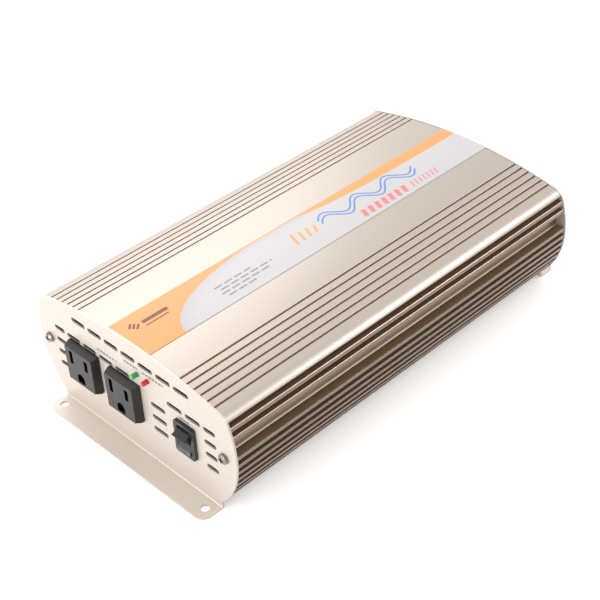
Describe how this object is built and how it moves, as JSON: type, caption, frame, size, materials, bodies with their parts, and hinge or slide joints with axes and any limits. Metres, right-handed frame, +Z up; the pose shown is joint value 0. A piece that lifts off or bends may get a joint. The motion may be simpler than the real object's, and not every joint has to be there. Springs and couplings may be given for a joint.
{
  "type": "power inverter",
  "caption": "DC to AC power inverter in a finned aluminium case with bent end plates, mounting flanges, two grounded outlets, rocker switch, lamps, rear fan and stud terminals.",
  "frame": {"origin": "centre of the four flange holes, on the surface that the flanges rest on", "axes": "+X across the case to the right seen from the outlet end, +Y from the outlet end to the fan end, +Z up"},
  "size_m": [0.1596, 0.3054, 0.0755],
  "materials": {
    "case_top": "champagne anodised extrusion, satin",
    "case_bottom": "champagne anodised extrusion, satin",
    "end_plate": "pale champagne powder coat",
    "plated_steel": "nickel plated",
    "label": "printed polyester film",
    "outlet_black": "moulded, fine grain",
    "switch_black": "moulded",
    "brass": "turned",
    "lamp_green": "clear tinted epoxy",
    "lamp_red": "clear tinted epoxy",
    "circuit_board": "solder mask",
    "fan_black": "moulded",
    "terminal_red": "moulded",
    "terminal_black": "moulded",
    "nylon_white": "moulded",
    "copper": "bare or enamelled copper",
    "insulating_sheet": "pressed insulating board",
    "mill_aluminium": "mill finish",
    "component_black": "moulded epoxy",
    "capacitor_sleeve": "shrink sleeve",
    "ferrite": "sintered ferrite",
    "fuse_plastic": "clear tinted",
    "lead_white": "wire insulation",
    "lead_black": "wire insulation",
    "lead_red": "wire insulation"
  },
  "bodies": {
    "case": {"top_shell": "case_top", "bottom_shell": "case_bottom", "front_plate": "end_plate", "rear_plate": "end_plate", "end_plate_screws": "plated_steel", "top_label": "label", "outlet_left": "outlet_black", "outlet_right": "outlet_black", "outlet_left_contacts": "brass", "outlet_right_contacts": "brass", "switch_housing": "switch_black", "switch_terminals": "brass", "led_green": "lamp_green", "led_red": "lamp_red", "led_board": "circuit_board", "fan_frame": "fan_black", "fan_guard": "plated_steel", "fan_screws": "plated_steel", "positive_base": "terminal_red", "negative_base": "terminal_black", "positive_stud": "brass", "negative_stud": "brass", "terminal_nuts": "brass", "terminal_washers": "plated_steel", "terminal_inner_insulators": "nylon_white", "positive_bus_bar": "copper", "negative_bus_bar": "copper", "earth_screw": "plated_steel", "earth_nut": "plated_steel", "main_board": "circuit_board", "insulating_sheet": "insulating_sheet", "board_spacers": "brass", "board_screws": "plated_steel", "transformer_core_1": "ferrite", "transformer_core_2": "ferrite", "transformer_core_3": "ferrite", "transformer_coil_1": "copper", "transformer_coil_2": "copper", "transformer_coil_3": "copper", "heat_bar_left": "mill_aluminium", "heat_bar_right": "mill_aluminium", "mosfets_left": "component_black", "mosfets_right": "component_black", "clamp_bar_left": "plated_steel", "clamp_bar_right": "plated_steel", "clamp_screws": "plated_steel", "input_capacitors": "capacitor_sleeve", "output_capacitors": "capacitor_sleeve", "output_choke": "copper", "fuses": "fuse_plastic", "control_board": "circuit_board", "buzzer": "component_black", "ac_leads": "lead_white", "switch_leads": "lead_black", "fan_lead": "lead_red"},
    "rocker": {"switch_rocker": "switch_black"},
    "contact_arm": {"switch_contact_arm": "brass"},
    "fan_rotor": {"fan_rotor": "fan_black"}
  },
  "joints": [
    {"name": "switch_rock", "type": "hinge", "parent": "case", "child": "rocker", "pos_m": [0.0424, -0.1307, 0.0343], "axis": [-1, 0, 0], "range_deg": [0, 25]},
    {"name": "contact_rock", "type": "hinge", "parent": "case", "child": "contact_arm", "pos_m": [0.0424, -0.1235, 0.0343], "axis": [1, 0, 0], "range_deg": [0, 16]},
    {"name": "fan_spin", "type": "hinge", "parent": "case", "child": "fan_rotor", "pos_m": [-0.025, 0.12, 0.036], "axis": [0, 1, 0], "continuous": true}
  ],
  "couplings": [
    {"joint": "contact_rock", "follows": "switch_rock", "ratio": 0.64}
  ]
}
